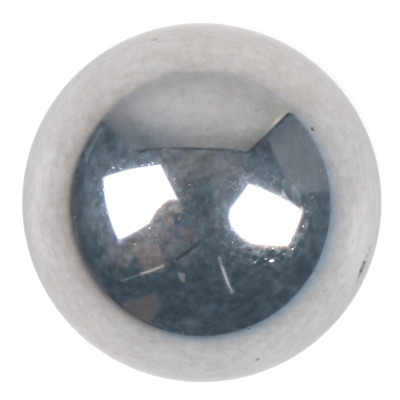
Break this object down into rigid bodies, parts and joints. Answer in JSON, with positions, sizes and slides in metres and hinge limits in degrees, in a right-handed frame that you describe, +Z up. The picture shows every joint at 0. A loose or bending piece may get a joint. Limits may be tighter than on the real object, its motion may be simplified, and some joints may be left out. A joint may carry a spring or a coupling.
{
  "type": "steel ball",
  "caption": "Solid polished steel ball with light pitting and one shallow nick, to roll, to carry load in a seat or race, or to use as a weight or reflector.",
  "frame": {"origin": "centre of the ball", "axes": "+Z up through the ball's centre, away from what it lies on; X and Y are level, and a plan view has +Y at its top and +X at its right"},
  "size_m": [0.025, 0.025, 0.025],
  "materials": {
    "polished_steel": "polished"
  },
  "bodies": {
    "root": {"steel_ball": "polished_steel"}
  },
  "joints": []
}
